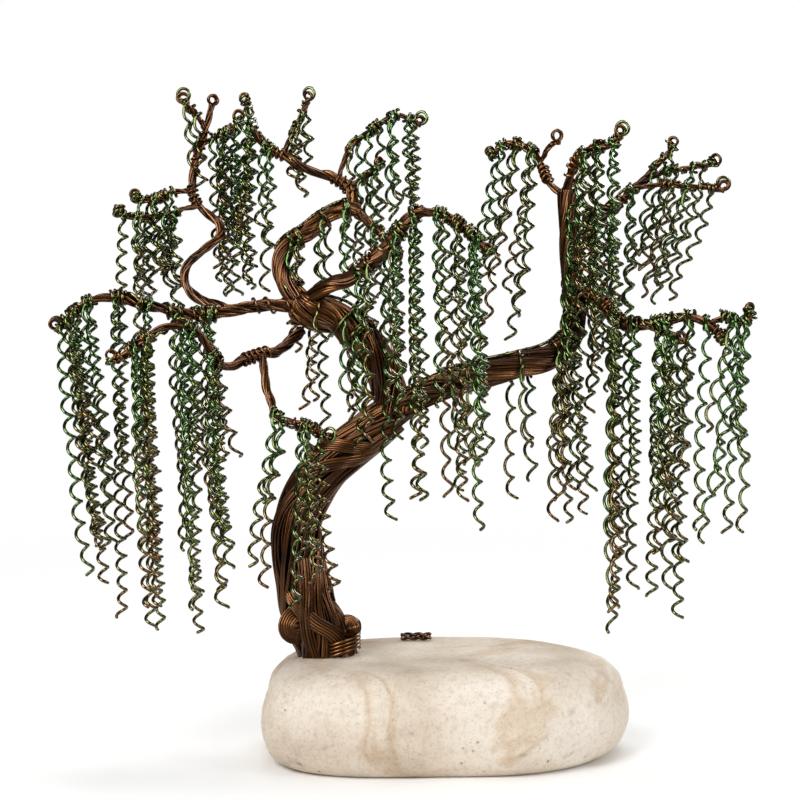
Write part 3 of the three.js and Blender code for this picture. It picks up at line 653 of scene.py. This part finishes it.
# ---- curls
CURL_STEPS = 15  # points in one turn of a curl
FLICK = 2.5  # length of a curl's last stretch, which opens a little
STEEP = 0.75  # a carrier that climbs more steeply than this only gets short hooks
REACHES_TIP = 0.79  # a curtain that ends past this share of its carrier finishes the tip
BINDING_PITCH = 9  # length along a thin carrier of one turn of the binding wire
BINDING_STATIONS = 40  # points of the binding wire along a stout carrier
HOOK_TURNS = [0.55, 1.2, 2.1]  # turns round a thin carrier that a curl starts with
HOOK_SHARES = [0.75, 0.18, 0.07]  # and the share of the curls that have each
STOUT_HOOK, STEEP_HOOK = 0.45, 0.2  # the same on a stout carrier and on a steep one
OVER_TOP = 0.52 * math.pi  # the angle at which a hook ends, just past the top
SHOULDER = 1.02  # how far out a hook ends, over the radius that clears its carrier


def bud(strands, tip, rng, tone):
    """A small knot of two or three uneven turns of green wire at the tip of a twig."""
    turns = rng.uniform(1.8, 2.8)
    k = np.linspace(0, 1, int(WOUND_STEPS * turns))
    angle = TURN * turns * k + rng.uniform(0, 6)
    radius = rng.uniform(0.95, 1.25) + 0.35 * np.sin(math.pi * k) + wave(rng, k, 0.15, (1.5, 2.5))
    z = turns * 1.15 * k - 0.6
    lean = rng.uniform(-0.7, 0.7, 2)
    points = np.stack([
        radius * np.cos(angle) + lean[0] * z,
        radius * np.sin(angle) + lean[1] * z,
        z + 0.5 * radius * np.cos(angle + rng.uniform(0, 6)),
    ], axis=-1)
    strands.add(tip + points, GREEN_WIRE * 0.9, GREEN_SIDES, tone)


def open_loop(strands, tip, rng, tone):
    """An open loop of the green wire that stands at the tip of a twig."""
    k = np.linspace(0, 1, 30)
    angle = -1.9 + TURN * 1.15 * k
    radius = 2.1 - 0.5 * k
    points = np.stack([radius * np.cos(angle), 1.4 * k, 2.4 + radius * np.sin(angle)], axis=-1)
    spin = rng.uniform(-0.5, 0.5)
    upright = np.array([[math.cos(spin), math.sin(spin), 0], [-math.sin(spin), math.cos(spin), 0],
                        [0, 0, 1]])
    strands.add(tip + points @ upright, GREEN_WIRE, GREEN_SIDES, tone)


def bind(strands, host, u_from, u_to, rng):
    """The green wire that binds a curtain on: laid along a stout carrier, wound round a thin one."""
    route = host["route"]
    if bundle_radius(host, u_from) > STOUT:
        u = np.linspace(u_from, u_to, BINDING_STATIONS)
        tangent = direction(route, u, 0.02)
        up = unit(np.stack([-tangent[..., 2], 0 * tangent[..., 0], tangent[..., 0]], axis=-1))
        up = np.where(up[..., 2:] < 0, -up, up)
        slack = np.stack([0 * u, wave(rng, u, 1.2, (8, 13)), 0 * u], axis=-1)
        points = along(route, u) + up * (bundle_radius(host, u) + 0.2)[:, None] + slack
        strands.add(points, GREEN_WIRE, GREEN_SIDES, 0.5, np.full(len(u), 0.8))
        return
    turns = np.linalg.norm(along(route, u_from) - along(route, u_to)) / BINDING_PITCH
    u = np.linspace(u_from, u_to, int(WOUND_STEPS * turns) + 8)
    centres = along(route, u)
    _, across, other = frames(centres)
    angle = TURN * turns * np.linspace(0, 1, len(u)) + wave(rng, u, 0.8, (9, 16))
    points = laid(centres, across, other, angle, bundle_radius(host, u) + GREEN_WIRE * 0.8)
    strands.add(points, GREEN_WIRE, GREEN_SIDES, 0.5, np.full(len(u), 0.7))


def hanging_turns(top, drop, turns, drift, rng):
    """The hanging helix of a curl, and how far down each of its points is, from 0 to 1."""
    phase = rng.uniform(0, TURN)
    fall = np.linspace(0, 1, int(CURL_STEPS * turns) + 1)[1:]
    angle = phase + TURN * turns * fall ** rng.uniform(0.9, 1.04)
    # the first turn is narrow, the last one opens a little
    swing = np.minimum(1, (fall * turns * 2.2 + 1) / 4)
    flick = 1 + 0.35 * np.clip((fall * drop - drop + FLICK) / FLICK, 0, 1)
    reach = CURL_RADIUS * rng.uniform(0.9, 1.12) * swing * flick
    reach = reach * (1 + wave(rng, fall, 0.12, (2.2, 4.1)))
    sway = wave(rng, fall, 1.3, (0.7, 1.4)) * fall
    sway_back = wave(rng, fall, 1.2, (0.7, 1.3)) * fall
    # the turns lean, so that from the front they are round on the left and pointed on the right
    lean = rng.uniform(0.4, 0.85) * drop / (TURN * turns) * np.sin(angle)
    points = np.stack([
        top[0] + drift * fall**1.3 + sway + reach * np.cos(angle),
        top[1] + sway_back + reach * np.sin(angle),
        top[2] - drop * fall + lean * np.minimum(1, 6 * (1 - fall)) * np.minimum(1, 8 * fall),
    ], axis=-1)
    return points, fall


def hook(host, u, side, rng):
    """The start of a curl: wound round its carrier, then over its top and down on the curl's side."""
    radius = bundle_radius(host, u)
    centre = along(host["route"], u)
    clear = radius + CAD_GAP + CAD_WIRE
    thin = radius < STOUT
    tangent = unit(direction(host["route"], u, 0.01))
    up = unit(np.cross(tangent, np.cross(np.array([0.0, 0, 1]), tangent)) + 1e-9)
    across = unit(np.array([0.0, side, 0]) - tangent * side * tangent[1])
    turns = rng.choice(HOOK_TURNS, p=HOOK_SHARES) if thin else STOUT_HOOK
    if abs(tangent[2]) > STEEP:
        turns = STEEP_HOOK
    around = radius + GREEN_WIRE + (0.3 * rng.uniform() if thin else 0)
    k = np.linspace(-turns, 0, int(14 * turns) + 2)
    angle = OVER_TOP + TURN * k
    lead = rng.choice([-1, 1]) * rng.uniform(2.1, 3.6) * GREEN_WIRE
    loop = (centre + tangent * (lead * k)[:, None]
            + up * (around * np.sin(angle))[:, None]
            + across * (around * np.cos(angle))[:, None])
    shoulder = centre + across * clear * SHOULDER + up * clear * 0.15
    between = (loop[-1] + shoulder) / 2 + up * 0.4 + across * 0.3
    return np.vstack([loop, between, shoulder])


def curl(strands, host, u, side, out, drop, pitch, drift, rng):
    """One curl, hooked over its carrier and hanging on one side of it."""
    off = bundle_radius(host, u) + CAD_GAP + CAD_WIRE + CURL_RADIUS + out
    top = along(host["route"], u) + np.array([0, side * off, 0])
    turns = drop / (pitch * rng.uniform(0.85, 1.15))
    helix, fall = hanging_turns(top, drop, turns, drift, rng)
    start = hook(host, u, side, rng)
    run = np.concatenate([np.full(len(start) - 2, 0.9), [0.6, 0.3], fall])
    strands.add(np.vstack([start, helix]), GREEN_WIRE, GREEN_SIDES, rng.uniform(0.05, 0.8), run)


def gathered(f, count):
    """A place in a curtain moved towards the middle of its group of three."""
    group = math.floor(f * (count - 0.01) / 3)
    middle = (group + 0.5) * 3 / count
    return f + (min(middle, 1.0) - f) * CLUMPING


def curtain_piece(name, number):
    """The curls that hang from one bough or twig, the wire that binds them on and the tip's finish."""
    curtain = CURTAINS[name]
    host = CARRIERS[curtain["on"]]
    rng = np.random.default_rng(500 + number)
    strands = Strands()
    bind(strands, host, curtain["from"], curtain["to"], rng)
    runs_on = curtain["on"].startswith("limb") or curtain["on"] == "bough_back"
    if curtain["to"] > REACHES_TIP and not runs_on:
        tone = rng.uniform(0.1, 0.6)
        finish_tip = open_loop if number % 3 == 0 else bud
        finish_tip(strands, np.array(host["route"][-1], float), rng, tone)
    drops = curtain["drops"]
    first, last = curtain["drift"]
    out = curtain.get("out", 0)
    pitch = curtain.get("pitch", CURL_PITCH) * curtain.get("tight", 1.0)
    for index, drop in enumerate(drops):
        f = index / (len(drops) - 1)
        place = gathered(f, len(drops)) if len(drops) > 5 else f
        u = curtain["from"] + (curtain["to"] - curtain["from"]) * place
        side = -1 if index % 2 == 0 else 1
        drift = first + (last - first) * f
        uneven = 1 + 0.08 * math.sin(1.7 * index)
        curl(strands, host, u, side, out, drop, pitch * uneven, drift, rng)
        # now and then another curl or two hang from the same spot
        for _ in range(rng.poisson(curtain.get("extra", USUAL_EXTRA))):
            further = out + rng.uniform(0.8, 3.0)
            near = u + rng.uniform(-0.012, 0.012)
            either_side = rng.choice([-1, 1])
            shorter = drop * rng.uniform(0.72, 1.02)
            astray = drift + rng.uniform(-1.8, 1.8)
            curl(strands, host, near, either_side, further, shorter, pitch, astray, rng)
    strands.piece(name + "_wires", name, green_enamel, "green_wire")


# ---- trunk
TRUNK_WIRES = 11  # wires of each of the trunk's ropes
BAND_STEPS = 40
TRUNK_FINE = 200  # stations at which the trunk's cross directions are taken

# Bands of wires that cross over the ropes: how many wires, and their way down as (u, angle).
BANDS = [
    (6, [(0.33, 2.7), (0.24, 3.25), (0.15, 3.75), (0.06, 4.1), (-0.04, 4.4)]),
    (5, [(0.44, 3.7), (0.3, 3.5), (0.16, 3.05), (0.03, 2.9)]),
    (5, [(0.5, 5.6), (0.36, 5.1), (0.2, 5.5), (0.02, 6.2)]),
    (6, [(0.55, 0.4), (0.35, 0.9), (0.18, 1.2), (0.02, 0.8)]),
    (6, [(0.7, 1.2), (0.76, 2.1), (0.82, 3.1), (0.9, 4.3)]),
    (5, [(0.62, 2.2), (0.7, 2.8), (0.8, 3.8), (0.9, 4.9)]),
]
# Ears at the foot: the middle of each, how far its widest loop stands out, half of that loop's
# height, how many loops it has, and how far behind the one before it each lies.
EARS = [
    ((-42.2, -6.4, 40.2), (-5.8, -1.6, 0), 6.1, 8, -0.5),
    ((-43, 3.5, 37), (-4.5, 2, -0.5), 4.6, 5, 0.5),
    ((-28.0, -5.4, 39.0), (3.6, -1.6, 0), 3.2, 7, -0.4),
    ((-27.8, 3, 36.5), (3.6, 1.6, 0.4), 3.7, 4, 0.5),
]


def crossing_band(strands, bundle, wires, route, seed):
    """Wires side by side that cross over the ropes and sink between them at both ends."""
    rng = np.random.default_rng(seed)
    steps = np.linspace(0, 1, BAND_STEPS)
    path = along([(u, angle, 0) for u, angle in route], steps)
    u, angle = path[:, 0], path[:, 1]
    centres = along(bundle["route"], u)
    _, across, other = frames(along(bundle["route"], np.linspace(0, 1, TRUNK_FINE)))
    nearest = np.clip((u * (TRUNK_FINE - 1)).round().astype(int), 0, TRUNK_FINE - 1)
    radius = bundle_radius(bundle, u)
    sunk = 1.6 * (1 - np.sin(math.pi * steps) ** 0.6)
    for i in range(wires):
        shift = (i - (wires - 1) / 2) * 2.05 * BROWN_WIRE / radius
        bow = math.cos((i - (wires - 1) / 2) / wires * math.pi)
        away = radius - 0.25 + 0.45 * bow - sunk + wave(rng, u, 0.1, (3, 5))
        points = laid(centres, across[nearest], other[nearest], angle + shift, away)
        strands.add(points, BROWN_WIRE, BROWN_SIDES, np.clip(0.5 + rng.normal(0, 0.18), 0, 1))


def ear(strands, middle, out, rise, loops, back, seed):
    """Nested loops of wire let out of the trunk's foot, each smaller than the one before it."""
    rng = np.random.default_rng(seed)
    angle = math.pi * np.linspace(-0.1, 1.1, 30)
    for i in range(loops):
        scale = 1 - 0.125 * i
        arc = (np.array(middle) + np.outer(np.sin(angle) * scale, out)
               + np.outer(np.cos(angle) * scale * rise, (0.12, 0, 1)))
        arc[:, 1] += back * i + 1.2 * np.abs(np.cos(angle)) + rng.normal(0, 0.06)
        strands.add(arc, BROWN_WIRE, BROWN_SIDES, np.clip(0.6 + rng.normal(0, 0.15), 0, 1))


def foot_coil(strands, centre, half, height, turns, tilt, tone):
    """A wire wound round an upright oval at the foot, each turn above the last."""
    k = np.linspace(0, 1, int(26 * turns))
    angle = TURN * turns * k
    x = half[0] * np.cos(angle)
    y = half[1] * np.sin(angle)
    z = height * k + tilt[0] * x + tilt[1] * y
    strands.add(np.array(centre) + np.stack([x, y, z], axis=-1), BROWN_WIRE, BROWN_SIDES, tone)


def trunk_piece():
    strands = Strands()
    trunk = BUNDLES["trunk"]
    roped_bundle(strands, trunk, TRUNK_WIRES, TRUNK_STATIONS, 11)
    for number, (wires, route) in enumerate(BANDS):
        crossing_band(strands, trunk, wires, route, 21 + number)
    for number, (middle, out, rise, loops, back) in enumerate(EARS):
        ear(strands, middle, out, rise, loops, back, 31 + number)
    foot_coil(strands, (-29.6, -2.2, 30.6), (5.4, 7.4), 5.0, 4.6, (0.3, -0.06), 0.85)
    strands.piece("trunk_wires", "trunk", brown_enamel, "brown_wire")


# ---- stone
STONE_HALF = (54, 40)  # half of the stone's length and width
STONE_TOP = 30.2  # height of the middle of its top
STONE_SIDES, STONE_ROWS = 220, 90
SQUARENESS = 2.6  # 2 makes the stone's outline an ellipse, and more makes it squarer
# The stone's side from the middle of the underside to the middle of the top: the height, and the
# share of the outline that the stone fills there.
STONE_PROFILE = [(0, 0), (0, 0.5), (0, 0.8), (0.6, 0.88), (4, 0.955), (12, 1), (21, 0.97), (26.5, 0.9),
                 (29.4, 0.78), (30, 0.66), (30.2, 0.4), (30.3, 0.0)]
NOISE_SCALE = 0.045  # of the slow lumps, per millimetre
OFFCUT_PLACE = (-11.5, 21, 31.5)  # the left end of the offcut's axis
OFFCUT_LENGTH, OFFCUT_RADIUS = 9, 0.78


def stone_reach(angle):
    """The stone's outline: a rounded oval with slow bulges."""
    bulge = (1 + 0.035 * np.sin(2 * angle + 0.6) + 0.03 * np.sin(3 * angle + 2)
             + 0.02 * np.sin(5 * angle + 1))
    oval = np.abs(np.cos(angle)) ** SQUARENESS + np.abs(np.sin(angle)) ** SQUARENESS
    return oval ** (-1 / SQUARENESS) * bulge


def weathered(x, y, z):
    """A point of the stone's surface moved by slow lumps, fine roughness and small open pits."""
    place = Vector((x, y, z)) * NOISE_SCALE
    lump = noise.fractal(place, 1.0, 2.0, 4)
    rough = noise.fractal(place * 9, 0.8, 2.1, 3)
    pit = max(0.0, noise.noise(place * 14 + Vector((5, 1, 3))) - 0.42)
    # nothing moves at the underside, and the top moves up and down instead of outwards
    above_underside = min(1.0, z / 3)
    top = min(1.0, max(0.0, (z - 27) / 3))
    grow = (0.9 * lump + 0.16 * rough - 3.2 * pit) * above_underside * (1 - 0.55 * top)
    return (x * (1 + grow / 45 * (1 - top)), y * (1 + grow / 38 * (1 - top)),
            max(z + grow * 0.5 * top, 0))


def stone_piece():
    rows = along([(z, share, 0) for z, share in STONE_PROFILE], np.linspace(0, 1, STONE_ROWS))[1:-1]
    angle = TURN * np.arange(STONE_SIDES) / STONE_SIDES
    corners = []
    for z, share, _ in rows:
        for a, reach in zip(angle, stone_reach(angle) * share):
            corners.append(weathered(STONE_HALF[0] * reach * math.cos(a),
                                     STONE_HALF[1] * reach * math.sin(a), z))
    bottom, top = len(corners), len(corners) + 1
    corners += [(0, 0, 0), (0, 0, STONE_TOP)]
    faces = []
    for side in range(STONE_SIDES):
        after = (side + 1) % STONE_SIDES
        for row in range(0, bottom - STONE_SIDES, STONE_SIDES):
            above = row + STONE_SIDES
            faces.append((row + side, row + after, above + after, above + side))
        last_row = bottom - STONE_SIDES
        faces.append((bottom, after, side))
        faces.append((top, last_row + side, last_row + after))
    mesh = bpy.data.meshes.new("stone")
    mesh.from_pydata([Vector(corner) * MM for corner in corners], [], faces)
    mesh.shade_smooth()
    dress(mesh, "stone", "stone_base", pale_stone)


def offcut_piece():
    """A short offcut of three twisted wires that lies on the stone behind the trunk."""
    strands = Strands()
    k = np.linspace(0, 1, 40)
    left, back, height = OFFCUT_PLACE
    for i in range(3):
        angle = TURN * (i / 3 + 0.95 * k)
        points = np.stack([left + OFFCUT_LENGTH * k, back + OFFCUT_RADIUS * np.cos(angle),
                           height + OFFCUT_RADIUS * np.sin(angle)], axis=-1)
        strands.add(points, 0.5, 8, 0.3 + 0.2 * i)
    strands.piece("offcut_wires", "stone_offcut", brown_enamel, "brown_wire")


# ---- the pieces
LIMB_WIRES = {"limb_left": 9, "limb_right": 8, "limb_crown": 6, "limb_front": 5}  # of each rope
THIN_BOUGHS = [name for name in BUNDLES if name != "trunk" and name not in LIMB_WIRES]

stone_piece()
offcut_piece()
trunk_piece()
for number, (name, wires) in enumerate(LIMB_WIRES.items()):
    limb_piece(name, wires, 40 + number)
for number, name in enumerate(THIN_BOUGHS):
    bough_piece(name, 70 + number)
for number, name in enumerate(CURTAINS):
    curtain_piece(name, number)


# ---- stage, light and camera
FLOOR_HALF = 1.5
FLOOR_WHITE = (0.93, 0.93, 0.925, 1)
FADE = (0.12, 0.6)  # distances from the middle between which the floor fades into the backdrop
CENTRE = (-0.012, 0, 0.11)
CAMERA_PLACE = (-0.012, -0.650, 0.152)
CAMERA_DOWN = 3.96  # degrees below level
CAMERA_LENS = 97.515  # on a sensor of the usual 36 mm

# name, place, size, power, and whether it only shows in the glints
LIGHTS = [
    ("key", (-0.5, -0.7, 0.85), (0.6, 0.6), 7.5, False),
    ("fill", (0.95, -0.5, 0.5), (0.35, 0.7), 3.2, False),
    ("top", (0.1, 0.25, 1.1), (0.7, 0.4), 5.0, False),
    ("window_left", (-0.8, -0.7, 0.5), (0.5, 0.8), 20, True),
    ("window_right", (0.6, -0.8, 0.75), (0.5, 0.5), 11, True),
    ("window_behind", (0.5, 0.9, 0.6), (0.4, 0.4), 6, True),
]


def floor():
    """A pale floor that fades into the white backdrop around it."""
    mesh = bpy.data.meshes.new("floor")
    half = FLOOR_HALF
    mesh.from_pydata([(-half, -half, 0), (half, -half, 0), (half, half, 0), (-half, half, 0)], [],
                     [(0, 1, 2, 3)])
    nodes = Nodes("floor")
    far = nodes.make("ShaderNodeVectorMath", {"operation": "LENGTH"})
    nodes.feed(far, 0, nodes.place)
    fade = nodes.make("ShaderNodeMapRange", {"interpolation_type": "SMOOTHSTEP"},
                      Value=far.outputs["Value"], From_Min=FADE[0], From_Max=FADE[1], To_Min=1.0,
                      To_Max=0.0)
    ground = bpy.data.objects.new("floor", mesh)
    ground.data.materials.append(nodes.finish(Base_Color=FLOOR_WHITE, Roughness=0.8,
                                              Alpha=fade.outputs[0]))
    bpy.context.scene.collection.objects.link(ground)


def backdrop():
    """White where the camera looks past the object, grey for its light, dark for its glints."""
    world = bpy.data.worlds.new("studio")
    bpy.context.scene.world = world
    world.use_nodes = True
    tree = world.node_tree
    tree.nodes.clear()
    path = tree.nodes.new("ShaderNodeLightPath")
    shown = None
    for strength, rays in ((0.5, None), (0.1, "Is Glossy Ray"), (1.0, "Is Camera Ray")):
        shade = tree.nodes.new("ShaderNodeBackground")
        shade.inputs["Color"].default_value = (1, 1, 1, 1)
        shade.inputs["Strength"].default_value = strength
        if rays is None:
            shown = shade.outputs[0]
            continue
        choice = tree.nodes.new("ShaderNodeMixShader")
        tree.links.new(path.outputs[rays], choice.inputs[0])
        tree.links.new(shown, choice.inputs[1])
        tree.links.new(shade.outputs[0], choice.inputs[2])
        shown = choice.outputs[0]
    output = tree.nodes.new("ShaderNodeOutputWorld")
    tree.links.new(shown, output.inputs[0])


def softbox(name, place, size, power, glints_only):
    light = bpy.data.lights.new(name, "AREA")
    light.shape = "RECTANGLE"
    light.size, light.size_y = size
    light.energy = power
    lamp = bpy.data.objects.new(name, light)
    lamp.location = place
    lamp.rotation_euler = (Vector(CENTRE) - Vector(place)).to_track_quat("-Z", "Y").to_euler()
    lamp.visible_diffuse = not glints_only
    bpy.context.scene.collection.objects.link(lamp)


def camera():
    lens = bpy.data.cameras.new("camera")
    lens.sensor_width = 36
    lens.lens = CAMERA_LENS
    lens.clip_start, lens.clip_end = 0.01, 20
    viewer = bpy.data.objects.new("camera", lens)
    viewer.location = CAMERA_PLACE
    viewer.rotation_euler = (math.radians(90 - CAMERA_DOWN), 0, 0)
    bpy.context.scene.collection.objects.link(viewer)
    bpy.context.scene.camera = viewer


floor()
backdrop()
for light in LIGHTS:
    softbox(*light)
camera()
bpy.context.scene.view_settings.view_transform = "Standard"
